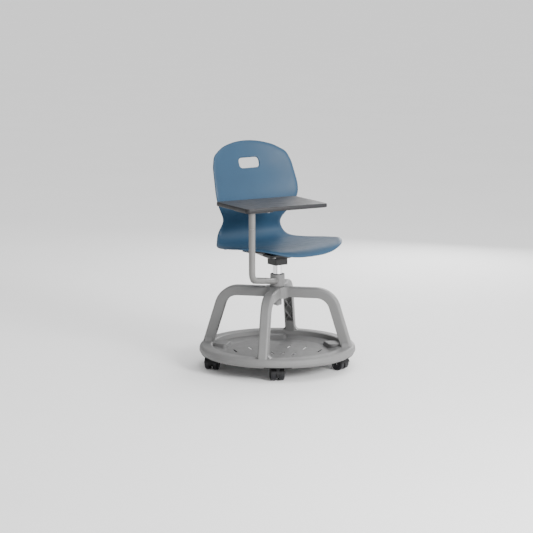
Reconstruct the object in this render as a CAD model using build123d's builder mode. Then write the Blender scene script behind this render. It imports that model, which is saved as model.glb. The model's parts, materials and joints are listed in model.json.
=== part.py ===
"""Swivel desk chair with a round storage base and a swing-over tablet, for classrooms.

Frame: origin on the swivel axis at floor level, +Z up, the sitter faces -Y. Millimetres.
Angles named "bearing" are counted from the front (-Y) towards +X.
"""

import os
from math import atan2, cos, degrees, hypot, radians, sin

from build123d import *

os.makedirs("parts", exist_ok=True)

# ---- driving dimensions -------------------------------------------------
RING_R = 290.0          # widest radius of the base ring
RING_TOP = 84.5
RING_BOTTOM = 51.5      # outer lip; the inner lip stops at LIP_LOW
LIP_LOW = 56.0
RING_IN = 243.0
WALL = 5.0
LEG_W = 36.0            # tangential width of a leg
LEG_BEARINGS = (-47.7, 42.3, 132.3, -137.7)
ARM_TOP, ARM_LOW = 299.0, 262.0
HUB_R, HUB_TOP, HUB_LOW = 40.0, 300.0, 258.0
COLUMN_R = 22.0
COLUMN_TOP = 343.0
CASTOR_BEARINGS = (-36, 36, 108, 180, -108)
CASTOR_R = 257.0        # radius of the castor stems
CASTOR_TRAIL = 17.0
SCREW_R = 256.0         # radius of the tray screws
WHEEL_R = 24.0
CASTOR_HEADINGS = (8, -19, 28, -24, 57)   # trail direction, turned from "towards the axis"
CHROME_R = 17.0
BLOCK = 55.0
BLOCK_LOW, BLOCK_TOP = 382.0, 405.0
PLATE_LOW, PLATE_TOP = 428.0, 436.0
SHELL_T = 6.0
TUBE_R, TUBE_WALL = 11.5, 2.0
TUBE_X, TUBE_Y = -250.0, -189.0          # where the tablet arm stands up
SEAM_Z = 557.0
TABLET_TOP, TABLET_T = 633.0, 14.5
TABLET_TURN = -6.3
TABLET_BOX = (-36.5, 296.0, -30.0, 205.0)  # along and across, from the arm tube
TABLET_CORNER = 15.0


def radial(bearing):
    """Unit vector on the floor along a bearing."""
    return (sin(radians(bearing)), -cos(radians(bearing)))


def upright(bearing, radius=0.0):
    """Plane standing on a bearing: local x runs outwards, local y runs up."""
    rx, ry = radial(bearing)
    return Plane(origin=(rx * radius, ry * radius, 0), x_dir=(rx, ry, 0), z_dir=(ry, -rx, 0))


def facing(bearing, radius):
    """Plane square to a bearing at a radius: local x is tangential, local y runs up."""
    rx, ry = radial(bearing)
    return Plane(origin=(rx * radius, ry * radius, 0), x_dir=(-ry, rx, 0), z_dir=(rx, ry, 0))


def save(builder, name):
    builder.part.label = name
    export_step(builder.part, f"parts/{name}.step")


# ---- base frame: hub, four channel legs and the ring --------------------
LEAN = 0.311            # how far a leg comes in per millimetre of height
CORE = 25.0             # outer skin and foamed core left behind the ribbed channel


def outer_r(z, inset=0.0):
    return 284.4 - LEAN * (z - 72.6) - inset


def leg_rims(builder, bearing):
    """The long edges on both flanks of one leg."""
    rx, ry = radial(bearing)
    across = Vector(-ry, rx, 0)
    return [
        e for e in builder.edges()
        if abs(abs((e @ 0).dot(across)) - LEG_W / 2) < 0.1
        and abs(abs((e @ 1).dot(across)) - LEG_W / 2) < 0.1
        and abs((e % 0.5).dot(across)) < 0.1
        and (e @ 0.5).dot(Vector(rx, ry, 0)) > 31
        and (e @ 0.5).Z > 70.5
    ]


def on_outer_side(edge, bearing):
    rx, ry = radial(bearing)
    middle = edge @ 0.5
    return middle.Z > 285 or middle.dot(Vector(rx, ry, 0)) > outer_r(middle.Z, 20)


with BuildPart() as base_frame:
    for bearing in LEG_BEARINGS:
        with BuildSketch(upright(bearing)):
            with BuildLine():
                FilletPolyline(
                    (outer_r(70), 70), (outer_r(ARM_TOP), ARM_TOP), (30, ARM_TOP), radius=90
                )
                Line((30, ARM_TOP), (30, ARM_LOW))
                FilletPolyline(
                    (30, ARM_LOW), (outer_r(ARM_LOW, 39.8), ARM_LOW), (outer_r(70, 39.8), 70),
                    radius=50,
                )
                Line((outer_r(70, 39.8), 70), (outer_r(70), 70))
            make_face()
        extrude(amount=LEG_W / 2, both=True)
    for bearing in LEG_BEARINGS:
        rims = leg_rims(base_frame, bearing)
        fillet([e for e in rims if on_outer_side(e, bearing)], radius=8)
        rims = leg_rims(base_frame, bearing)
        fillet([e for e in rims if not on_outer_side(e, bearing)], radius=2.5)
    for bearing in LEG_BEARINGS:
        with BuildSketch(upright(bearing)):
            with BuildLine():
                FilletPolyline(
                    (outer_r(122, CORE), 122), (outer_r(ARM_TOP - CORE, CORE), ARM_TOP - CORE),
                    (62, ARM_TOP - CORE), radius=62,
                )
                Polyline(
                    (62, ARM_TOP - CORE), (62, 250), (170, 250), (222, 122),
                    (outer_r(122, CORE), 122),
                )
            make_face()
        extrude(amount=LEG_W / 2 - 4, both=True, mode=Mode.SUBTRACT)
    for bearing in LEG_BEARINGS:
        for height in (146, 190, 234):
            for slant in (-38, 38):
                rx, ry = radial(bearing)
                r_mid = outer_r(height, 30)
                tilt = degrees(atan2(LEAN, 1))
                spot = Plane(
                    origin=(rx * r_mid, ry * r_mid, height), x_dir=(-ry, rx, 0),
                    z_dir=(rx * cos(radians(tilt)), ry * cos(radians(tilt)), sin(radians(tilt))),
                )
                with Locations(spot.location):
                    with Locations(Location((0, 0, 0), (0, 0, slant))):
                        Box(2.6, 42, 13)
        for along in (92, 132):
            for slant in (-38, 38):
                rx, ry = radial(bearing)
                with Locations(Plane(origin=(rx * along, ry * along, 269.5),
                                     x_dir=(-ry, rx, 0), z_dir=(0, 0, 1)).location):
                    with Locations(Location((0, 0, 0), (0, 0, slant))):
                        Box(2.6, 42, 12)
    with BuildSketch(Plane.XZ):
        with BuildLine():
            Polyline((280.5, RING_BOTTOM), (286, 56), (RING_R, 64), (289, 72))
            ThreePointArc((289, 72), (285.8, 80.2), (277, RING_TOP - 0.4))
            Polyline(
                (277, RING_TOP - 0.4), (273, RING_TOP), (247, RING_TOP), (RING_IN, RING_TOP - 3),
                (RING_IN, LIP_LOW), (RING_IN + WALL, LIP_LOW),
                (RING_IN + WALL, RING_TOP - WALL), (275, RING_TOP - WALL), (283, 72),
                (284.2, 64), (281.5, 57.5), (276.5, RING_BOTTOM), (280.5, RING_BOTTOM),
            )
        make_face()
    revolve(axis=Axis.Z)
    with PolarLocations(CASTOR_R, 5, start_angle=-90 + CASTOR_BEARINGS[0]):
        with Locations((20, 0, 48)):
            Box(70, 100.4, 16, mode=Mode.SUBTRACT)
    for bearing in LEG_BEARINGS:
        with BuildSketch(facing(bearing, 246)):
            with BuildLine():
                Line((-40, 82), (40, 82))
                ThreePointArc((40, 82), (23.5, 89.5), (16, 106))
                Line((16, 106), (-16, 106))
                ThreePointArc((-16, 106), (-23.5, 89.5), (-40, 82))
            make_face()
        extrude(amount=25)
    with PolarLocations(SCREW_R, 5, start_angle=-90):
        with Locations((0, 0, 68.5)):
            Cylinder(6, 24)
    with BuildSketch(Plane.XY.offset(HUB_LOW)):
        Circle(HUB_R)
    extrude(amount=HUB_TOP - HUB_LOW)
    with BuildSketch(Plane.XY.offset(ARM_LOW)):
        Rectangle(88, LEG_W, rotation=LEG_BEARINGS[1] - 90)
        Rectangle(88, LEG_W, rotation=LEG_BEARINGS[1])
        Circle(HUB_R)
        fillet([v for v in vertices() if 20 < hypot(v.X, v.Y) < HUB_R + 2], radius=14)
    extrude(amount=ARM_TOP - ARM_LOW)
    with Locations((0, 0, 280)):
        Cylinder(COLUMN_R, 60, mode=Mode.SUBTRACT)
    with PolarLocations(SCREW_R, 5, start_angle=-90):
        with Locations((0, 0, 64)):
            Cylinder(2.0, 20, mode=Mode.SUBTRACT)
save(base_frame, "base_frame")

# ---- storage tray and its screws ----------------------------------------
TRAY_T = 2.6
PANEL_R = 188.0         # slotted floor panel, let into a ledge of the tray
HUMP_R, HUMP_TOP = 228.5, 72.5   # hollow bosses that strap bags can rest against
SLOTS = ((20, 52, 17), (43, -57, 20), (102, -33, 24), (156, 15, 24), (60, 69, 24))
VIEW_TURN = -36.0       # the slot pattern is mirrored about this bearing

with BuildPart() as storage_tray:
    with BuildSketch(Plane.XZ):
        with BuildLine():
            Polyline(
                (PANEL_R, 58), (190, 58), (226, 63.5), (RING_IN, 65.5), (RING_IN, 65.5 - TRAY_T),
                (227, 63.5 - TRAY_T), (190.5, 58 - 2 * TRAY_T), (PANEL_R - 8, 58 - 2 * TRAY_T),
                (PANEL_R - 8, 58 - TRAY_T), (PANEL_R, 58 - TRAY_T), (PANEL_R, 58),
            )
        make_face()
    revolve(axis=Axis.Z)
    with BuildSketch(Plane.XY.offset(57)):
        with PolarLocations(HUMP_R, 5, start_angle=-90):
            RectangleRounded(80, 74, 14)
    extrude(amount=HUMP_TOP - 57, taper=16)
    fillet(
        storage_tray.edges().filter_by_position(Axis.Z, HUMP_TOP - 0.1, HUMP_TOP + 0.1), radius=4
    )
    with BuildSketch(Plane.XY.offset(50)):
        Circle(300)
        Circle(RING_IN - 0.7, mode=Mode.SUBTRACT)
    extrude(amount=35, mode=Mode.SUBTRACT)
    with BuildSketch(Plane.XY.offset(52)):
        with PolarLocations(HUMP_R, 5, start_angle=-90):
            RectangleRounded(74, 68, 11)
    extrude(amount=HUMP_TOP - TRAY_T - 52, taper=14, mode=Mode.SUBTRACT)
    with PolarLocations(0, 5, start_angle=-90):
        with Locations((251, 0, 54.6)):
            Box(26, 22, 2.8)
        with Locations((239.5, 0, 62.35)):
            Box(3.4, 22, 18.3)
    with PolarLocations(SCREW_R, 5, start_angle=-90):
        with Locations((0, 0, 55)):
            Cylinder(2.6, 10, mode=Mode.SUBTRACT)
save(storage_tray, "storage_tray")

with BuildPart() as tray_panel:
    with Locations((0, 0, 58 - TRAY_T / 2)):
        Cylinder(PANEL_R, TRAY_T)
    for side in (-1, 1):
        for across, toward, length in SLOTS:
            turn = radians(VIEW_TURN)
            x = side * across * cos(turn) + toward * sin(turn)
            y = side * across * sin(turn) - toward * cos(turn)
            heading = VIEW_TURN - 90 - side * 18
            with BuildSketch(Plane.XY.offset(50)):
                with Locations((x, y)):
                    SlotOverall(2 * length, 7, rotation=heading)
            extrude(amount=15, mode=Mode.SUBTRACT)
save(tray_panel, "tray_panel")

with BuildPart() as tray_screws:
    with PolarLocations(SCREW_R, 5, start_angle=-90):
        with Locations((0, 0, 52.0)):
            Cylinder(4.5, 2.4)
        with Locations((0, 0, 61.5)):
            Cylinder(2.0, 17)
save(tray_screws, "tray_screws")

# ---- column --------------------------------------------------------------
with BuildPart() as column_tube:
    with BuildSketch(Plane.XZ):
        with BuildLine():
            Polyline(
                (5.05, 231), (15, 231), (16, 232), (16, 257), (COLUMN_R, 263),
                (COLUMN_R, COLUMN_TOP), (19, COLUMN_TOP), (19, 268), (13, 260), (13, 244),
                (5.05, 244), (5.05, 231),
            )
        make_face()
    revolve(axis=Axis.Z)
save(column_tube, "column_tube")

with BuildPart() as column_bush:
    with BuildSketch(Plane.XZ):
        with BuildLine():
            Polyline(
                (17.05, 315), (19, 315), (19, COLUMN_TOP), (21.5, COLUMN_TOP), (21.5, 345),
                (17.05, 345), (17.05, 315),
            )
        make_face()
    revolve(axis=Axis.Z)
save(column_bush, "column_bush")

with BuildPart() as thrust_bearing:
    with BuildSketch(Plane.XZ):
        with BuildLine():
            Polyline((6.5, 244), (12.9, 244), (12.9, 250), (6.5, 250), (6.5, 244))
        make_face()
    revolve(axis=Axis.Z)
save(thrust_bearing, "thrust_bearing")

# ---- gas lift ------------------------------------------------------------
with BuildPart() as piston_rod:
    with BuildSketch(Plane.XZ):
        with BuildLine():
            Polyline(
                (0, 225), (4, 225), (5, 226), (5, 229), (4.2, 229), (4.2, 230.6), (5, 230.6),
                (5, 250.4), (11.5, 250.4), (11.5, 256), (5, 256), (5, 360), (12.95, 360),
                (12.95, 372), (0, 372), (0, 225),
            )
        make_face()
    revolve(axis=Axis.Z)
save(piston_rod, "piston_rod")

with BuildPart() as retaining_clip:
    with BuildSketch(Plane.XY.offset(229)):
        Circle(9)
        Circle(4.2, mode=Mode.SUBTRACT)
        with Locations((7, 0)):
            Rectangle(8, 5, mode=Mode.SUBTRACT)
    extrude(amount=1.6)
save(retaining_clip, "retaining_clip")

with BuildPart() as lift_cylinder:
    with BuildSketch(Plane.XZ):
        with BuildLine():
            Polyline(
                (5.05, 268), (15.5, 268), (CHROME_R, 269.5), (CHROME_R, 400), (4.05, 400),
                (4.05, 390), (13, 390), (13, 280), (5.05, 280), (5.05, 268),
            )
        make_face()
    revolve(axis=Axis.Z)
save(lift_cylinder, "lift_cylinder")

with BuildPart() as valve_button:
    with Locations((0, 0, 399.95)):
        Cylinder(4.0, 20.7)
    fillet(valve_button.edges().group_by(Axis.Z)[-1], radius=1.2)
save(valve_button, "valve_button")

# ---- under-seat mechanism -------------------------------------------------
PIVOT_X, LEVER_Z = 40.0, 415.0

with BuildPart() as lift_socket:
    with BuildSketch(Plane.XY.offset(BLOCK_LOW)):
        RectangleRounded(BLOCK, BLOCK, 4)
    extrude(amount=BLOCK_TOP - BLOCK_LOW)
    with Locations((0, 0, BLOCK_LOW + 9)):
        Cylinder(CHROME_R, 18, mode=Mode.SUBTRACT)
    with Locations((0, 0, 402)):
        Cylinder(8, 8, mode=Mode.SUBTRACT)
save(lift_socket, "lift_socket")

WING = ((80, 70), (-80, 70), (80, -90), (-80, -90))
with BuildPart() as seat_mount:
    with BuildSketch(Plane.XY.offset(BLOCK_TOP)):
        Rectangle(62, 62)
    with BuildSketch(Plane.XY.offset(PLATE_LOW)):
        Rectangle(150, 122)
    loft()
    with BuildSketch(Plane.XY.offset(PLATE_LOW)):
        with Locations((0, -10)):
            RectangleRounded(206, 196, 14)
        for side in (-1, 1):
            with Locations((side * 118, -10)):
                Circle(44, mode=Mode.SUBTRACT)
            with Locations((0, -10 + side * 118)):
                Circle(50, mode=Mode.SUBTRACT)
    extrude(amount=PLATE_TOP - PLATE_LOW)
    with Locations((40, 0, LEVER_Z - 0.5)):
        Box(108, 20, 19, mode=Mode.SUBTRACT)
    with Locations((0, 0, 431)):
        Box(44, 44, 12, mode=Mode.SUBTRACT)
    with Locations(Location((PIVOT_X, 0, LEVER_Z), (90, 0, 0))):
        Cylinder(2.5, 36, mode=Mode.SUBTRACT)
    with Locations(*[(x, y, 432) for x, y in WING]):
        Cylinder(3.0, 20, mode=Mode.SUBTRACT)
save(seat_mount, "seat_mount")

with BuildPart() as lever_pin:
    with Locations(Location((PIVOT_X, 0, LEVER_Z), (90, 0, 0))):
        Cylinder(2.5, 36)
save(lever_pin, "lever_pin")

with BuildPart() as release_lever:
    with BuildSketch(Plane.YZ.offset(-6)):
        with Locations((0, LEVER_Z)):
            RectangleRounded(10, 6.4, 2)
    extrude(amount=60)
    with Locations(Location((PIVOT_X, 0, LEVER_Z), (90, 0, 0))):
        Cylinder(6.0, 10)
    with Locations(Location((100, 0, LEVER_Z), (0, 90, 0))):
        Cylinder(3.2, 96)
    with Locations(Location((PIVOT_X, 0, LEVER_Z), (90, 0, 0))):
        Cylinder(2.55, 20, mode=Mode.SUBTRACT)
save(release_lever, "release_lever")

with BuildPart() as lever_grip:
    with BuildSketch(Plane.YZ.offset(118)):
        with Locations((0, LEVER_Z)):
            SlotOverall(26, 11)
            Circle(3.2, mode=Mode.SUBTRACT)
    extrude(amount=30)
    with BuildSketch(Plane.YZ.offset(148)):
        with Locations((0, LEVER_Z)):
            SlotOverall(26, 11)
    extrude(amount=6)
save(lever_grip, "lever_grip")

with BuildPart() as shell_screws:
    for x, y in WING:
        with Locations((x, y, 426.2)):
            Cylinder(6.0, 3.6)
        with Locations((x, y, 435)):
            Cylinder(3.0, 14)
save(shell_screws, "shell_screws")

# ---- one-piece shell -----------------------------------------------------
# centre line of the sitting face (y, z), half-width there, rise of the edges
PROFILE = (
    (206, 846, 176, 27), (197, 800, 176, 27), (187, 767, 177, 27), (174, 727, 180, 26),
    (152, 673, 186, 23), (136, 612, 183, 18), (139, 575, 162, 12), (155, 538, 137, 8),
    (169, 510, 136, 6), (172, 488, 146, 5), (165, 468, 157, 6), (147, 454, 172, 9),
    (116, 448, 193, 11), (72, 448, 215, 12), (20, 451, 228, 14), (-40, 456, 231, 15),
    (-100, 460, 226, 17), (-150, 461, 220, 17), (-186, 455, 214, 15), (-208, 441, 208, 12),
)
HANDLE_Z, HANDLE_W, HANDLE_H = 743.0, 90.0, 37.0

with BuildPart() as seat_shell:
    for i, (y, z, w, rise) in enumerate(PROFILE):
        before, after = PROFILE[max(i - 1, 0)], PROFILE[min(i + 1, len(PROFILE) - 1)]
        along = (0, after[0] - before[0], after[1] - before[1])
        with BuildSketch(Plane(origin=(0, y, z), x_dir=(1, 0, 0), z_dir=along)):
            with BuildLine():
                ThreePointArc((-w, rise), (0, 0), (w, rise))
                Line((w, rise), (w, rise - SHELL_T))
                ThreePointArc((w, rise - SHELL_T), (0, -SHELL_T), (-w, rise - SHELL_T))
                Line((-w, rise - SHELL_T), (-w, rise))
            make_face()
    loft()
    with BuildSketch(Plane.XZ.offset(-320)):
        with BuildLine():
            Spline(
                (-194, 694), (-183, 718), (-177, 745), (-168.5, 769), (-152, 786), (-126, 800.5),
                (-86, 814), (-46, 821.5), (0, 824.5), (46, 821.5), (86, 814), (126, 800.5),
                (152, 786), (168.5, 769), (177, 745), (183, 718), (194, 694),
            )
            Polyline((194, 694), (260, 694), (260, 880), (-260, 880), (-260, 694), (-194, 694))
        make_face()
    extrude(amount=320, mode=Mode.SUBTRACT)
    with BuildSketch(Plane.XY.offset(400)):
        with BuildLine():
            Spline(
                (-240, -40), (-226, -84), (-206, -122), (-178, -157), (-144, -184),
                (-104, -199), (-56, -205), (0, -206), (56, -205), (104, -199), (144, -184),
                (178, -157), (206, -122), (226, -84), (240, -40),
            )
            Polyline((240, -40), (300, -40), (300, -260), (-300, -260), (-300, -40), (-240, -40))
        make_face()
    extrude(amount=130, mode=Mode.SUBTRACT)
    with BuildSketch(Plane.XZ.offset(-260)):
        with Locations((0, HANDLE_Z)):
            RectangleRounded(HANDLE_W, HANDLE_H, 11)
    extrude(amount=160, mode=Mode.SUBTRACT)
    for x, y in WING:
        under = 447.5 if y > 0 else 457.5
        with Locations((x, y, (PLATE_TOP + under) / 2)):
            Cylinder(11, under - PLATE_TOP)
    for side in (-1, 1):
        with Locations((side * 170, 80, 446.5)):
            Box(26, 14, 8)
        with Locations((side * 119, 32, 443.5)):
            Cylinder(9, 13)
    for x, y in WING:
        with Locations((x, y, 438)):
            Cylinder(3.0, 8, mode=Mode.SUBTRACT)
save(seat_shell, "seat_shell")

# ---- tablet arm ----------------------------------------------------------
REACH = hypot(TUBE_X, TUBE_Y)
AX, AY = TUBE_X / REACH, TUBE_Y / REACH
RUN_Z0, RUN_Z1 = 320.0, 375.0

with BuildPart() as arm_collar:
    with BuildSketch(Plane.XZ):
        with BuildLine():
            Polyline(
                (25, 302.6), (26.2, 301), (27, 302), (27, 345.5), (26, 346.5), (25, 346.5),
                (25, 302.6),
            )
        make_face()
    revolve(axis=Axis.Z)
save(arm_collar, "arm_collar")

for name, low, high in (("collar_bush_lower", 300.5, 318), ("collar_bush_upper", 330, 346.5)):
    with BuildPart() as collar_bush:
        with BuildSketch(Plane.XY.offset(low)):
            Circle(25)
            Circle(COLUMN_R + 0.05, mode=Mode.SUBTRACT)
        extrude(amount=high - low)
    save(collar_bush, name)

with BuildPart() as arm_tube_lower:
    with BuildLine():
        path = FilletPolyline(
            (AX * 14, AY * 14, RUN_Z0),
            (TUBE_X, TUBE_Y, RUN_Z1),
            (TUBE_X, TUBE_Y, SEAM_Z),
            radius=36,
        )
    with BuildSketch(Plane(origin=path @ 0, z_dir=path % 0)):
        Circle(TUBE_R)
        Circle(TUBE_R - TUBE_WALL, mode=Mode.SUBTRACT)
    sweep(path=path)
    chamfer(arm_tube_lower.faces().sort_by(Axis.Z)[-1].outer_wire().edges(), length=0.8)
    with Locations((0, 0, 325)):
        Cylinder(27, 60, mode=Mode.SUBTRACT)
save(arm_tube_lower, "arm_tube_lower")

with BuildPart() as swivel_pin:
    with BuildSketch(Plane.XY.offset(512)):
        with Locations((TUBE_X, TUBE_Y)):
            Circle(TUBE_R - TUBE_WALL)
    extrude(amount=SEAM_Z - 512)
    with BuildSketch(Plane.XY.offset(SEAM_Z)):
        with Locations((TUBE_X, TUBE_Y)):
            Circle(TUBE_R - TUBE_WALL - 0.05)
    extrude(amount=50)
    with Locations((TUBE_X, TUBE_Y, 559.5)):
        Cylinder(5, 120, mode=Mode.SUBTRACT)
save(swivel_pin, "swivel_pin")

with BuildPart() as arm_tube_upper:
    with BuildSketch(Plane.XY.offset(SEAM_Z + 0.6)):
        with Locations((TUBE_X, TUBE_Y)):
            Circle(TUBE_R)
            Circle(TUBE_R - TUBE_WALL, mode=Mode.SUBTRACT)
    extrude(amount=TABLET_TOP - TABLET_T - 3 - SEAM_Z - 0.6)
    chamfer(arm_tube_upper.faces().sort_by(Axis.Z)[0].outer_wire().edges(), length=0.8)
save(arm_tube_upper, "arm_tube_upper")

# ---- tablet: built about the arm tube and turned with it ------------------
TABLET_PLANE = Plane(
    origin=(TUBE_X, TUBE_Y, TABLET_TOP - TABLET_T),
    x_dir=(cos(radians(TABLET_TURN)), sin(radians(TABLET_TURN)), 0), z_dir=(0, 0, 1),
)
X0, X1, Y0, Y1 = TABLET_BOX
SCREWS = ((-18, 40), (60, 40), (60, -12), (18, 72))

with BuildPart() as tablet_bracket:
    with BuildSketch(TABLET_PLANE.offset(-3)):
        with Locations((24, 30)):
            RectangleRounded(108, 108, 12)
        with Locations(*SCREWS):
            Circle(2.5, mode=Mode.SUBTRACT)
    extrude(amount=3)
save(tablet_bracket, "tablet_bracket")

with BuildPart() as tablet_top:
    with BuildSketch(TABLET_PLANE):
        with Locations(((X0 + X1) / 2, (Y0 + Y1) / 2)):
            RectangleRounded(X1 - X0, Y1 - Y0, TABLET_CORNER)
    extrude(amount=TABLET_T)
    fillet(tablet_top.edges().group_by(Axis.Z)[-1], radius=2.5)
    fillet(tablet_top.edges().group_by(Axis.Z)[0], radius=2.0)
    with BuildSketch(TABLET_PLANE):
        with Locations(*SCREWS):
            Circle(2.5)
    extrude(amount=8, mode=Mode.SUBTRACT)
save(tablet_top, "tablet_top")

with BuildPart() as tablet_screws:
    with BuildSketch(TABLET_PLANE.offset(-5.2)):
        with Locations(*SCREWS):
            Circle(4.8)
    extrude(amount=2.2)
    with BuildSketch(TABLET_PLANE.offset(-3)):
        with Locations(*SCREWS):
            Circle(2.5)
    extrude(amount=10)
save(tablet_screws, "tablet_screws")

# ---- castors ---------------------------------------------------------------
WEB = 5.0               # half-thickness of the body between the two wheels
for index, (bearing, heading) in enumerate(zip(CASTOR_BEARINGS, CASTOR_HEADINGS), start=1):
    rx, ry = radial(bearing)
    sx, sy = rx * CASTOR_R, ry * CASTOR_R
    trail = radians(degrees(atan2(-ry, -rx)) + heading)
    tx, ty = cos(trail), sin(trail)
    # local x runs from the stem to the axle, local y runs up, local z along the axle
    roll = Plane(origin=(sx, sy, 0), x_dir=(tx, ty, 0), z_dir=(ty, -tx, 0))
    axle_at = (CASTOR_TRAIL, WHEEL_R)

    with BuildPart() as castor_insert:
        with BuildSketch(Plane.XY.offset(52)):
            with Locations((rx * CASTOR_R, ry * CASTOR_R)):
                Rectangle(60, 100, rotation=degrees(atan2(ry, rx)))
        extrude(amount=4)
        with BuildSketch(Plane.XY.offset(52)):
            Circle(284)
            Circle(RING_IN + 0.5, mode=Mode.SUBTRACT)
        extrude(amount=4, mode=Mode.INTERSECT)
        with Locations((sx, sy, 67.5)):
            Cylinder(8.5, 23)
        with Locations((sx, sy, 64)):
            Cylinder(5.5, 26, mode=Mode.SUBTRACT)
    save(castor_insert, f"castor_{index}_insert")

    with BuildPart() as castor_body:
        with BuildSketch(roll):
            with Locations(axle_at):
                Circle(26)
            with Locations((4, 34)):
                Rectangle(22, 32)
        extrude(amount=WEB, both=True)
        with BuildSketch(roll):
            with Locations(axle_at):
                Circle(26)
                Circle(24.8, mode=Mode.SUBTRACT)
            with Locations((CASTOR_TRAIL, WHEEL_R - 16)):
                Rectangle(60, 40, mode=Mode.SUBTRACT)
        extrude(amount=24, both=True)
        with Locations((sx, sy, 46)):
            Cylinder(8, 9)
        with BuildSketch(roll.offset(WEB)):
            with Locations(axle_at):
                Circle(24.8)
        extrude(amount=30, mode=Mode.SUBTRACT)
        with BuildSketch(roll.offset(-WEB)):
            with Locations(axle_at):
                Circle(24.8)
        extrude(amount=-30, mode=Mode.SUBTRACT)
        with BuildSketch(Plane.XY.offset(50.5)):
            with Locations((sx, sy)):
                Circle(60)
        extrude(amount=20, mode=Mode.SUBTRACT)
        with BuildSketch(Plane.XY.offset(-10)):
            with Locations((sx, sy)):
                Circle(60)
        extrude(amount=25.5, mode=Mode.SUBTRACT)
        with BuildSketch(roll):
            with Locations(axle_at):
                Circle(3)
        extrude(amount=40, both=True, mode=Mode.SUBTRACT)
        with Locations((sx, sy, 45)):
            Cylinder(4, 20, mode=Mode.SUBTRACT)
    save(castor_body, f"castor_{index}_body")

    with BuildPart() as castor_stem:
        with BuildSketch(Plane.XY.offset(35)):
            with Locations((sx, sy)):
                Circle(4)
        extrude(amount=15.5)
        with BuildSketch(Plane.XY.offset(50.5)):
            with Locations((sx, sy)):
                Circle(8)
        extrude(amount=1.1)
        with BuildSketch(Plane.XY.offset(51.6)):
            with Locations((sx, sy)):
                Circle(5.45)
        extrude(amount=24)
    save(castor_stem, f"castor_{index}_stem")

    with BuildPart() as castor_axle:
        with BuildSketch(roll):
            with Locations(axle_at):
                Circle(3)
        extrude(amount=22.5, both=True)
    save(castor_axle, f"castor_{index}_axle")

    wx, wy = sx + tx * CASTOR_TRAIL, sy + ty * CASTOR_TRAIL
    for side, tag in ((-1, "left"), (1, "right")):
        ox, oy = side * ty, side * -tx      # outwards along the axle
        half = Plane(origin=(wx, wy, WHEEL_R), x_dir=(ox, oy, 0), z_dir=(oy, -ox, 0))
        with BuildPart() as castor_wheel:
            with BuildSketch(half):
                with BuildLine():
                    Polyline(
                        (5.6, 3.05), (23.4, 3.05), (23.4, 8), (22.4, 9), (22.4, 16), (24.4, 17.5),
                        (25, 19), (24, 21.8), (21.5, WHEEL_R), (7.5, WHEEL_R), (5.6, 22.4),
                        (5.6, 19), (8.5, 18), (8.5, 9), (5.6, 8), (5.6, 3.05),
                    )
                make_face()
            revolve(axis=Axis((wx, wy, WHEEL_R), (ox, oy, 0)))
        save(castor_wheel, f"castor_{index}_wheel_{tag}")
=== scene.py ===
import json
from bisect import bisect
from math import cos, hypot, pi, radians, sin

import bmesh
import bpy
from mathutils import Matrix, Vector
from mathutils.geometry import delaunay_2d_cdt


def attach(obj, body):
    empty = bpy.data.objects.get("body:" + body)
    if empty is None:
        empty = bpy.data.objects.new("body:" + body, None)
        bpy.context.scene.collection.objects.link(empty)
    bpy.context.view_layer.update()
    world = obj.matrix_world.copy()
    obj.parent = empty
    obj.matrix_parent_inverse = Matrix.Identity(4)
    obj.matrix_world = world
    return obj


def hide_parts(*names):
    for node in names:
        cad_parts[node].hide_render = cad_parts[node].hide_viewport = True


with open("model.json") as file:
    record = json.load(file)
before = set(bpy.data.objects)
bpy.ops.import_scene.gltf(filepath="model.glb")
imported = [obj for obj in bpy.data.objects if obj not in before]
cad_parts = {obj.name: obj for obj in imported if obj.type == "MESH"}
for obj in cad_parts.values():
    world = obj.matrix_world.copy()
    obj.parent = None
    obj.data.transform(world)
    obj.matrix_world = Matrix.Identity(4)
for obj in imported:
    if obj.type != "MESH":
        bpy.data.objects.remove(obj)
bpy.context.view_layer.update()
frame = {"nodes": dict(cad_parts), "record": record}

NODES = frame["nodes"]
MM = 0.001


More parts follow.
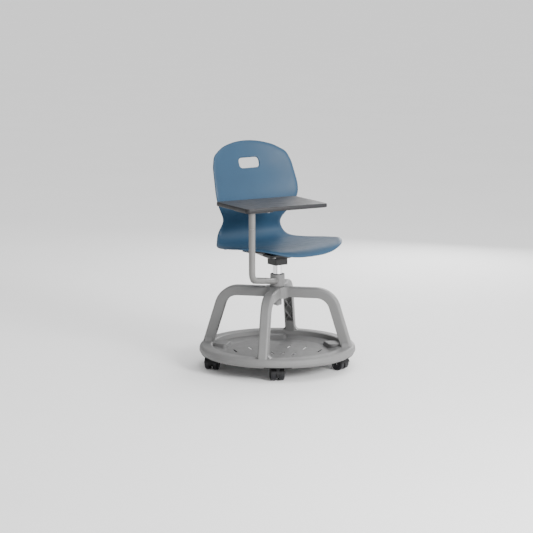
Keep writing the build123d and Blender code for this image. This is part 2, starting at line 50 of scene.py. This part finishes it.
# ---- materials -------------------------------------------------------------
class Shader:
    """A small builder for node materials that all start from object coordinates."""

    def __init__(self, name):
        self.material = bpy.data.materials.new(name)
        self.material.use_nodes = True
        self.tree = self.material.node_tree
        self.bsdf = self.tree.nodes["Principled BSDF"]
        self.coords = self.node("ShaderNodeTexCoord").outputs["Object"]

    def node(self, kind, **inputs):
        made = self.tree.nodes.new(kind)
        for key, value in inputs.items():
            self.feed(made.inputs[key.replace("_", " ")], value)
        return made

    def feed(self, socket, value):
        if isinstance(value, bpy.types.NodeSocket):
            self.tree.links.new(value, socket)
        else:
            socket.default_value = value

    def noise(self, scale, detail=4.0, roughness=0.55, stretch=None):
        coords = self.coords
        if stretch:
            coords = self.node("ShaderNodeMapping", Vector=coords, Scale=stretch).outputs["Vector"]
        made = self.node("ShaderNodeTexNoise", Vector=coords, Scale=scale, Detail=detail,
                         Roughness=roughness)
        return made.outputs["Fac"]

    def spread(self, value, low, high, start=0.3, stop=0.7):
        made = self.node("ShaderNodeMapRange", Value=value)
        made.inputs["From Min"].default_value = start
        made.inputs["From Max"].default_value = stop
        made.inputs["To Min"].default_value = low
        made.inputs["To Max"].default_value = high
        return made.outputs["Result"]

    def mix(self, factor, one, two):
        made = self.tree.nodes.new("ShaderNodeMix")
        made.data_type = "RGBA"
        self.feed(made.inputs["Factor"], factor)
        self.feed(made.inputs["A"], one)
        self.feed(made.inputs["B"], two)
        return made.outputs["Result"]

    def bump(self, height, distance, strength=1.0, below=None):
        made = self.node("ShaderNodeBump", Height=height, Distance=distance, Strength=strength)
        if below:
            self.feed(made.inputs["Normal"], below)
        return made.outputs["Normal"]

    def edge(self, radius):
        """How far the surface turns within a radius: 0 on a flat, near 1 on an edge."""
        bevel = self.node("ShaderNodeBevel", Radius=radius)
        bevel.samples = 6
        plain = self.node("ShaderNodeNewGeometry").outputs["Normal"]
        dot = self.tree.nodes.new("ShaderNodeVectorMath")
        dot.operation = "DOT_PRODUCT"
        self.feed(dot.inputs[0], bevel.outputs["Normal"])
        self.feed(dot.inputs[1], plain)
        return self.spread(dot.outputs["Value"], 1.0, 0.0, 0.75, 1.0)


def tint(color, factor):
    return tuple(min(1.0, c * factor) for c in color[:3]) + (1.0,)


def moulded(name, color, rough=(0.42, 0.52), grain=0.00012, grain_scale=1400.0, specular=0.5,
            wear=0.35):
    """Injection-moulded plastic: fine spark texture, slow tone drift, paler worn edges."""
    s = Shader(name)
    drift = s.spread(s.noise(7.0, 3.0), 0.0, 1.0)
    base = s.mix(drift, tint(color, 0.94), tint(color, 1.06))
    scuff = s.noise(60.0, 6.0, 0.7)
    edge = s.edge(0.0016)
    worn = s.node("ShaderNodeMath")
    worn.operation = "MULTIPLY"
    s.feed(worn.inputs[0], edge)
    s.feed(worn.inputs[1], s.spread(scuff, 0.0, wear, 0.42, 0.62))
    s.feed(s.bsdf.inputs["Base Color"], s.mix(worn.outputs[0], base, tint(color, 1.6)))
    s.feed(s.bsdf.inputs["Roughness"], s.spread(s.noise(35.0, 5.0), rough[0], rough[1]))
    texture = s.bump(s.noise(grain_scale, 2.0), grain, 0.6)
    s.feed(s.bsdf.inputs["Normal"], s.bump(s.noise(22.0, 2.0), 0.0004, 0.25, texture))
    s.bsdf.inputs["Specular IOR Level"].default_value = specular
    return s.material


def coated(name, color, rough=(0.38, 0.48)):
    """Powder coat: orange-peel skin over metal, slightly paler on edges."""
    s = Shader(name)
    drift = s.spread(s.noise(12.0, 3.0), 0.0, 1.0)
    base = s.mix(drift, tint(color, 0.95), tint(color, 1.05))
    s.feed(s.bsdf.inputs["Base Color"], s.mix(s.edge(0.001), base, tint(color, 1.25)))
    s.feed(s.bsdf.inputs["Roughness"], s.spread(s.noise(80.0, 4.0), rough[0], rough[1]))
    s.feed(s.bsdf.inputs["Normal"], s.bump(s.noise(420.0, 2.0), 0.00006, 0.8))
    return s.material


def metal(name, color, rough=(0.05, 0.12), turned=None):
    """Plated or bright metal; turned gives fine lines round the axis of turning."""
    s = Shader(name)
    smear = s.noise(30.0, 5.0, 0.65)
    s.feed(s.bsdf.inputs["Base Color"], s.mix(s.spread(smear, 0.0, 1.0), tint(color, 0.93),
                                              tint(color, 1.03)))
    s.feed(s.bsdf.inputs["Roughness"], s.spread(smear, rough[0], rough[1]))
    stretch = turned or (1.0, 1.0, 1.0)
    s.feed(s.bsdf.inputs["Normal"], s.bump(s.noise(600.0, 3.0, stretch=stretch), 0.00002, 0.5))
    s.bsdf.inputs["Metallic"].default_value = 1.0
    return s.material


SHELL_BLUE = (0.018, 0.050, 0.092)
FRAME_GRAY = (0.150, 0.150, 0.149)
# the frame nylon made darker for the tray: painted shade standing in for the shade inside the tray
TRAY_PAINTED_SHADE_GRAY = (0.112, 0.112, 0.112)
ARM_GRAY = (0.128, 0.126, 0.122)
TABLET_GRAY = (0.012, 0.012, 0.014)
TABLET_SHEET = (0.030, 0.030, 0.034)
BLACK = (0.0065, 0.0065, 0.0072)
CASTOR_BLACK = (0.010, 0.010, 0.012)

MATERIALS = {
    "shell": moulded("shell_polypropylene", SHELL_BLUE, rough=(0.42, 0.50), specular=0.25),
    "frame_gray": moulded("frame_nylon", FRAME_GRAY, rough=(0.46, 0.58), grain=0.00016,
                          grain_scale=1100.0, specular=0.4),
    # the same nylon as the frame, darker: painted shade for the tray
    "tray_painted_shade": moulded("frame_nylon_painted_shade", TRAY_PAINTED_SHADE_GRAY, rough=(0.50, 0.62), grain=0.00016,
                         grain_scale=1100.0, specular=0.3),
    "arm_silver": coated("arm_powder_coat", ARM_GRAY),
    "tablet": moulded("tablet_laminate", TABLET_GRAY, rough=(0.40, 0.52), grain=0.00008,
                      grain_scale=1800.0, specular=0.30, wear=0.2),
    "black_cast": coated("black_powder_coat", BLACK, rough=(0.42, 0.55)),
    "black_plastic": moulded("black_nylon", BLACK, rough=(0.45, 0.6), grain=0.0001, specular=0.25),
    "castor_tyre": moulded("castor_wheel", CASTOR_BLACK, rough=(0.35, 0.5), grain=0.00008,
                           specular=0.28),
    "chrome": metal("bright_chrome", (0.86, 0.86, 0.87), (0.03, 0.08)),
    "steel": metal("bright_steel", (0.56, 0.56, 0.57), (0.22, 0.34), (1.0, 1.0, 12.0)),
}


def dress(obj, material):
    obj.data.materials.clear()
    obj.data.materials.append(material)


for entry in frame["record"]["subparts"]:
    dress(NODES[entry["node"]], MATERIALS[entry["material_slot"]])
# the tray and its panel wear the darker frame nylon, painted shade for the tray's shaded inside
for name in ("storage_tray", "tray_panel"):
    dress(NODES[name], MATERIALS["tray_painted_shade"])

# ---- the one-piece shell ----------------------------------------------------
# centre line of the sitting face (y, z), half-width there and rise of the edges, in mm
SHELL_LINE = (
    (206, 846, 176, 27), (197, 800, 176, 27), (187, 767, 177, 27), (174, 727, 180, 26),
    (152, 673, 186, 23), (136, 612, 183, 18), (139, 575, 162, 12), (155, 538, 137, 8),
    (169, 510, 136, 6), (172, 488, 146, 5), (165, 468, 157, 6), (147, 454, 172, 9),
    (116, 448, 193, 11), (72, 448, 215, 12), (20, 451, 228, 14), (-40, 456, 231, 15),
    (-100, 460, 226, 17), (-150, 461, 220, 17), (-186, 455, 214, 15), (-208, 441, 208, 12),
)
# half of the head's outline seen from the front (x, z), and of the seat's front seen from above (x, y)
HEAD_LINE = ((0, 824.5), (46, 821.5), (86, 814), (126, 800.5), (152, 786), (168.5, 769), (177, 745))
FRONT_LINE = ((0, -206), (56, -205), (104, -199), (144, -184), (178, -157), (206, -122),
              (226, -84), (240, -40))
SHELL_T = 6.0
HANDLE = (743.0, 90.0, 37.0, 11.0)      # height, width, height of the hole and corner radius


def natural_spline(knots, values):
    """Cubic through the values; returns a function of the parameter."""
    n = len(knots)
    h = [knots[i + 1] - knots[i] for i in range(n - 1)]
    lower, diag, rhs = [0.0] * n, [1.0] * n, [0.0] * n
    upper = [0.0] * n
    for i in range(1, n - 1):
        lower[i], diag[i], upper[i] = h[i - 1], 2 * (h[i - 1] + h[i]), h[i]
        rhs[i] = 6 * ((values[i + 1] - values[i]) / h[i] - (values[i] - values[i - 1]) / h[i - 1])
    for i in range(1, n):
        factor = lower[i] / diag[i - 1]
        diag[i] -= factor * upper[i - 1]
        rhs[i] -= factor * rhs[i - 1]
    curve = [0.0] * n
    for i in range(n - 2, 0, -1):
        curve[i] = (rhs[i] - upper[i] * curve[i + 1]) / diag[i]

    def at(t):
        i = min(max(bisect(knots, t) - 1, 0), n - 2)
        a, b = knots[i + 1] - t, t - knots[i]
        return ((curve[i] * a ** 3 + curve[i + 1] * b ** 3) / (6 * h[i])
                + (values[i] / h[i] - curve[i] * h[i] / 6) * a
                + (values[i + 1] / h[i] - curve[i + 1] * h[i] / 6) * b)
    return at


class ShellFace:
    """The sitting face as a map from (x, s): s runs down the back and forward over the seat."""

    def __init__(self):
        self.knots = [0.0]
        for a, b in zip(SHELL_LINE, SHELL_LINE[1:]):
            self.knots.append(self.knots[-1] + hypot(b[0] - a[0], b[1] - a[1]))
        self.y, self.z, self.w, self.rise = (
            natural_spline(self.knots, [row[i] for row in SHELL_LINE]) for i in range(4))
        self.length = self.knots[-1]

    def point(self, x, s, lift=0.0):
        step = 0.5
        dy = self.y(s + step) - self.y(s - step)
        dz = self.z(s + step) - self.z(s - step)
        size = hypot(dy, dz)
        ny, nz = dz / size, -dy / size          # towards the sitter
        off = self.rise(s) * (x / self.w(s)) ** 2 + lift
        return Vector((x, self.y(s) + ny * off, self.z(s) + nz * off))


def loop_resampled(points, spacing):
    """Evenly spaced points round a closed outline, lightly smoothed."""
    total = [0.0]
    ring = points + points[:1]
    for a, b in zip(ring, ring[1:]):
        total.append(total[-1] + hypot(b[0] - a[0], b[1] - a[1]))
    count = int(total[-1] / spacing)
    made, i = [], 0
    for k in range(count):
        want = total[-1] * k / count
        while total[i + 1] < want:
            i += 1
        f = (want - total[i]) / (total[i + 1] - total[i])
        made.append((ring[i][0] + f * (ring[i + 1][0] - ring[i][0]),
                     ring[i][1] + f * (ring[i + 1][1] - ring[i][1])))
    for _ in range(4):
        made = [((made[k - 1][0] + 2 * made[k][0] + made[(k + 1) % count][0]) / 4,
                 (made[k - 1][1] + 2 * made[k][1] + made[(k + 1) % count][1]) / 4)
                for k in range(count)]
    return made


def inset(loop, distance):
    """The outline moved to its left by a distance: inwards when it runs anticlockwise."""
    count, made = len(loop), []
    for k in range(count):
        ax, ay = loop[k - 1]
        bx, by = loop[(k + 1) % count]
        size = hypot(bx - ax, by - ay)
        made.append((loop[k][0] - (by - ay) / size * distance,
                     loop[k][1] + (bx - ax) / size * distance))
    return made


def solve(function, low, high):
    """Where a function of one value crosses zero."""
    sign = function(low) > 0
    for _ in range(30):
        mid = (low + high) / 2
        if (function(mid) > 0) == sign:
            low = mid
        else:
            high = mid
    return (low + high) / 2


def shell_outline(face):
    """The shell's edge as (x, s) points, from the head round to the front and back."""
    head = natural_spline([p[0] for p in HEAD_LINE], [p[1] for p in HEAD_LINE])
    half = []
    for k in range(45):
        x = HEAD_LINE[-1][0] * sin(k / 44 * pi / 2)
        half.append((x, solve(lambda s: face.point(x, s).z - head(x), 0, 160)))
    turn = len(half)
    front = natural_spline([p[0] for p in FRONT_LINE], [p[1] for p in FRONT_LINE])
    ends = []
    for k in range(60):
        x = 222 * sin(k / 59 * pi / 2)
        ends.append((x, solve(lambda s: face.point(x, s).y - front(x), face.length - 260,
                              face.length)))
    s = half[-1][1] + 5
    while s < ends[-1][1] - 3:
        half.append((face.w(s), s))
        s += 5
    half += list(reversed(ends))
    whole = half + [(-x, s) for x, s in reversed(half[1:-1])]
    return loop_resampled(whole, 5.0)


def handle_outline(face):
    """The hand hole's edge as (x, s) points."""
    height, width, tall, corner = HANDLE
    made = []
    for cx, cz, first in ((1, 1, 0), (-1, 1, 90), (-1, -1, 180), (1, -1, 270)):
        ox = cx * (width / 2 - corner)
        oz = height + cz * (tall / 2 - corner)
        for k in range(9):
            a = radians(first + k * 90 / 8)
            x, z = ox + corner * cos(a), oz + corner * sin(a)
            made.append((x, solve(lambda s: face.point(x, s).z - z, 20, 200)))
    return loop_resampled(made, 3.2)


def strip(bm, one, two):
    """Faces between two closed rings of vertices."""
    for k in range(len(one)):
        j = (k + 1) % len(one)
        bm.faces.new((one[k], one[j], two[j], two[k]))


def stack(bm, rings):
    """A closed solid from rings of points in mm, lowest first."""
    made = [[bm.verts.new(Vector(point) * MM) for point in ring] for ring in rings]
    for one, two in zip(made, made[1:]):
        strip(bm, one, two)
    bm.faces.new(list(reversed(made[0])))
    bm.faces.new(made[-1])


LIP_WIDTH, LIP_DROP = 13.0, 4.2
RIM_STEPS = (90, 60, 30, 0, -30, -60, -90)      # turn of the half-round edge, degrees
BAND_STEPS = (4.5, 6.5, 9, 11.5, 14.5, 19)      # rings between the edge and the open sheet, mm
GRID_STEP = 9.0                                 # spacing of the points inside the sheet, mm


def lip(distance):
    """How far the sheet rolls back this close to its edge."""
    return LIP_DROP * max(0.0, 1 - distance / LIP_WIDTH) ** 2


def build_shell():
    """The sheet: two faces and a rolled edge, round the outside and round the hand hole."""
    face = ShellFace()
    bm = bmesh.new()
    edge, hole = shell_outline(face), handle_outline(face)
    # (x, s) grows clockwise in this order, so insets run the other way
    way = 1 if sum(a[0] * b[1] - b[0] * a[1] for a, b in zip(edge, edge[1:])) > 0 else -1
    hole_way = -1 if sum(a[0] * b[1] - b[0] * a[1] for a, b in zip(hole, hole[1:])) > 0 else 1
    half = SHELL_T / 2

    def ring(loop, direction, distance, drop, roll):
        return [bm.verts.new(face.point(x, s, -roll - drop) * MM)
                for x, s in inset(loop, distance * direction)]

    rims = []
    for loop, direction, scale in ((edge, way, 1.0), (hole, hole_way, 0.35)):
        rings = {}
        turned = [ring(loop, direction, half - half * cos(radians(a)), half - half * sin(radians(a)),
                       lip(half) * scale) for a in RIM_STEPS]
        for one, two in zip(turned, turned[1:]):
            strip(bm, one, two)
        inner = []
        for drop, first in ((0, turned[0]), (SHELL_T, turned[-1])):
            last = first
            for distance in BAND_STEPS:
                if scale < 1:
                    distance = 3 + (distance - 3) * 0.45
                level = lip(distance if scale == 1.0 else distance * 1.8) * scale
                new = ring(loop, direction, distance, drop, level)
                strip(bm, last, new)
                last = new
            inner.append(last)
        rims.append((inset(loop, (BAND_STEPS[-1] if scale == 1.0 else 10.2) * direction), inner))

    outer_loop, hole_loop = rims[0][0], rims[1][0]

    def inside(point, loop):
        hit = False
        for k in range(len(loop)):
            ax, ay = loop[k - 1]
            bx, by = loop[k]
            if (ay > point[1]) != (by > point[1]):
                if point[0] < ax + (point[1] - ay) / (by - ay) * (bx - ax):
                    hit = not hit
        return hit

    def clear(point, loop, gap):
        return min((point[0] - a) ** 2 + (point[1] - b) ** 2 for a, b in loop) > gap * gap

    grid = []
    for i in range(-26, 27):
        for j in range(int(face.length / GRID_STEP) + 1):
            p = (i * GRID_STEP, j * GRID_STEP)
            if (inside(p, outer_loop) and not inside(p, hole_loop) and clear(p, outer_loop, 5)
                    and clear(p, hole_loop, 4)):
                grid.append(p)
    loops = outer_loop + hole_loop
    n, m = len(outer_loop), len(hole_loop)
    limits = [(k, (k + 1) % n) for k in range(n)] + [(n + k, n + (k + 1) % m) for k in range(m)]
    found = delaunay_2d_cdt([Vector(p) for p in loops + grid], limits, [], 0, 1e-5)
    points, triangles = found[0], found[2]
    for drop, level in ((0, 0), (SHELL_T, 1)):
        verts = rims[0][1][level] + rims[1][1][level]
        verts += [bm.verts.new(face.point(p.x, p.y, -drop) * MM) for p in points[n + m:]]
        for tri in triangles:
            middle = [sum(points[i][k] for i in tri) / 3 for k in (0, 1)]
            if inside(middle, outer_loop) and not inside(middle, hole_loop):
                bm.faces.new([verts[i] for i in tri])
    bmesh.ops.recalc_face_normals(bm, faces=bm.faces)
    return bm


def finish_mesh(bm, name, body, slot, replaced=()):
    """Turns a bmesh into a piece that rides on a body and wears a record slot's material."""
    mesh = bpy.data.meshes.new(name)
    bm.to_mesh(mesh)
    bm.free()
    mesh.shade_smooth()
    obj = bpy.data.objects.new(name, mesh)
    bpy.context.scene.collection.objects.link(obj)
    dress(obj, MATERIALS[slot])
    if replaced:
        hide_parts(*replaced)
    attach(obj, body)
    return obj


def add_drum(bm, centre, radius, low, high, chamfer=1.2, sides=32):
    """A round boss with softened ends, in mm."""
    steps = ((radius - chamfer, low), (radius - chamfer * 0.3, low + chamfer * 0.3),
             (radius, low + chamfer), (radius, high))
    stack(bm, [[(centre[0] + r * cos(2 * pi * k / sides), centre[1] + r * sin(2 * pi * k / sides), z)
                for k in range(sides)] for r, z in steps])


def add_pad(bm, centre, size, low, high, corner=4.0, sides=6):
    """A stacking pad: rounded in plan, softened at its foot, in mm."""
    rings = []
    for margin, z in ((1.6, low), (0.5, low + 0.5), (0, low + 1.6), (0, high)):
        ring = []
        for cx, cy, first in ((1, 1, 0), (-1, 1, 90), (-1, -1, 180), (1, -1, 270)):
            for k in range(sides):
                a = radians(first + k * 90 / (sides - 1))
                ring.append((centre[0] + cx * (size[0] / 2 - corner) + (corner - margin) * cos(a),
                             centre[1] + cy * (size[1] / 2 - corner) + (corner - margin) * sin(a),
                             z))
        rings.append(ring)
    stack(bm, rings)


# screw bosses under the seat: x, y, radius, foot and top in mm, mirrored like the stacking pads
BOSSES = ((80, 70, 11, 436, 449), (80, -90, 11, 436, 459), (119, 32, 9, 437, 450))
PAD_X, PAD_Y, PAD_SIZE, PAD_LOW, PAD_HIGH = 170, 80, (26, 14), 442.5, 450.5

shell_bm = build_shell()
for side in (-1, 1):
    for x, y, radius, foot, top in BOSSES:
        add_drum(shell_bm, (side * x, y), radius, foot, top)
    add_pad(shell_bm, (side * PAD_X, PAD_Y), PAD_SIZE, PAD_LOW, PAD_HIGH)
finish_mesh(shell_bm, "seat_shell_moulding", "seat", "shell", ["seat_shell"])

# ---- tablet: a dark board with a paler laminate let into its top ---------------
TABLET_AT, TABLET_TURN = (-250.0, -189.0), radians(-6.3)
TABLET_BOX = (-36.5, 296.0, -30.0, 205.0)
TABLET_CORNER = 15.0
TABLET_LOW, TABLET_HIGH = 618.5, 633.0


def board_outline(margin, sides=9):
    """The tablet's outline moved in by a margin, in world mm."""
    x0, x1, y0, y1 = TABLET_BOX
    made = []
    for cx, cy, first in ((x1, y1, 0), (x0, y1, 90), (x0, y0, 180), (x1, y0, 270)):
        ox = cx - TABLET_CORNER if cx == x1 else cx + TABLET_CORNER
        oy = cy - TABLET_CORNER if cy == y1 else cy + TABLET_CORNER
        for k in range(sides):
            a = radians(first + k * 90 / (sides - 1))
            x, y = ox + (TABLET_CORNER - margin) * cos(a), oy + (TABLET_CORNER - margin) * sin(a)
            made.append((TABLET_AT[0] + x * cos(TABLET_TURN) - y * sin(TABLET_TURN),
                         TABLET_AT[1] + x * sin(TABLET_TURN) + y * cos(TABLET_TURN)))
    return made


def stacked(profile):
    """A closed board from (margin, height) steps that start and end on flat faces."""
    bm = bmesh.new()
    stack(bm, [[(x, y, z) for x, y in board_outline(margin)] for margin, z in profile])
    return bm


board = stacked((
    (9, TABLET_LOW), (3, TABLET_LOW), (1.2, TABLET_LOW + 0.5), (0.4, TABLET_LOW + 1.4),
    (0, TABLET_LOW + 3), (0, TABLET_HIGH - 2.6), (0.3, TABLET_HIGH - 1.4),
    (1.0, TABLET_HIGH - 0.5), (2.0, TABLET_HIGH - 0.1), (3.2, TABLET_HIGH - 0.1),
    (3.6, TABLET_HIGH - 0.5), (3.7, TABLET_HIGH - 1.4), (9, TABLET_HIGH - 1.4),
))
finish_mesh(board, "tablet_board", "tablet", "tablet", ["tablet_top"])
sheet = stacked((
    (9, TABLET_HIGH - 1.4), (4.3, TABLET_HIGH - 1.4), (4.2, TABLET_HIGH - 0.4),
    (4.5, TABLET_HIGH - 0.15), (5.2, TABLET_HIGH), (9, TABLET_HIGH),
))
laminate = finish_mesh(sheet, "tablet_laminate", "tablet", "tablet")
dress(laminate, moulded("tablet_laminate_sheet", TABLET_SHEET, rough=(0.36, 0.46), grain=0.00006,
                        grain_scale=2000.0, specular=0.38, wear=0.1))

# ---- floor, light and camera ------------------------------------------------
def white_floor():
    s = Shader("floor_paper")
    s.feed(s.bsdf.inputs["Base Color"], s.mix(s.spread(s.noise(1.5, 2.0), 0.0, 1.0),
                                              (0.93, 0.93, 0.93, 1), (0.95, 0.95, 0.95, 1)))
    s.feed(s.bsdf.inputs["Roughness"], s.spread(s.noise(8.0), 0.75, 0.85))
    return s.material


ROOM = (0.04, 1.75)         # strength of the room light, dim side and bright side
FLOOR_HALF = 90.0
mesh = bpy.data.meshes.new("floor")
mesh.from_pydata([(-FLOOR_HALF, -FLOOR_HALF, 0), (FLOOR_HALF, -FLOOR_HALF, 0),
                  (FLOOR_HALF, FLOOR_HALF, 0), (-FLOOR_HALF, FLOOR_HALF, 0)], [], [(0, 1, 2, 3)])
floor = bpy.data.objects.new("floor", mesh)
bpy.context.scene.collection.objects.link(floor)
dress(floor, white_floor())

VIEW_AZ, VIEW_EL, VIEW_D = radians(-36.0), radians(9.885), 6.5
SIDE_SHIFT, LOOK_Z = -0.0404, 0.3729
LENS = 118.98
back = Vector((sin(VIEW_AZ) * cos(VIEW_EL), -cos(VIEW_AZ) * cos(VIEW_EL), sin(VIEW_EL)))
right = Vector((cos(VIEW_AZ), sin(VIEW_AZ), 0))
up = back.cross(right)
target = right * SIDE_SHIFT + Vector((0, 0, LOOK_Z))


def area_light(name, place, size, power, aim=(0, 0, 0.4), tone=(1, 1, 1)):
    lamp = bpy.data.lights.new(name, "AREA")
    lamp.shape, lamp.size, lamp.energy, lamp.color = "DISK", size, power, tone
    obj = bpy.data.objects.new(name, lamp)
    obj.location = place
    obj.rotation_euler = (Vector(aim) - Vector(place)).to_track_quat("-Z", "Y").to_euler()
    bpy.context.scene.collection.objects.link(obj)
    return obj


def seen_from(side, toward, height):
    """A place given as the viewer sees it: to the right, towards the viewer, up."""
    level = Vector((back.x, back.y, 0)).normalized()
    return right * side + level * toward + Vector((0, 0, height))


area_light("key_right", seen_from(2.5, 2.9, 1.8), 1.3, 225)
area_light("top_soft", seen_from(0.6, -0.2, 3.4), 2.4, 30)
area_light("sheen_behind", seen_from(0.9, -2.6, 1.1), 1.4, 36, aim=(0, 0, 0.45))

# the room: bright above and to the right, dimmer to the left
world = bpy.data.worlds.new("studio")
world.use_nodes = True
tree = world.node_tree
coords = tree.nodes.new("ShaderNodeTexCoord")
toward = tree.nodes.new("ShaderNodeVectorMath")
toward.operation = "DOT_PRODUCT"
toward.inputs[1].default_value = (right * 0.72 + Vector((0, 0, 0.62)) + back * 0.3).normalized()
level = tree.nodes.new("ShaderNodeMapRange")
for key, value in (("From Min", -0.8), ("From Max", 1.0), ("To Min", ROOM[0]), ("To Max", ROOM[1])):
    level.inputs[key].default_value = value
tree.links.new(coords.outputs["Generated"], toward.inputs[0])
tree.links.new(toward.outputs["Value"], level.inputs["Value"])
backdrop = tree.nodes["Background"]
backdrop.inputs["Color"].default_value = (1, 1, 1, 1)
tree.links.new(level.outputs["Result"], backdrop.inputs["Strength"])
bpy.context.scene.world = world

camera = bpy.data.cameras.new("camera")
camera.sensor_width, camera.lens = 36.0, LENS
camera_obj = bpy.data.objects.new("camera", camera)
camera_obj.matrix_world = Matrix.Translation(target + back * VIEW_D) @ Matrix(
    (right, up, back)).transposed().to_4x4()
bpy.context.scene.collection.objects.link(camera_obj)
bpy.context.scene.camera = camera_obj
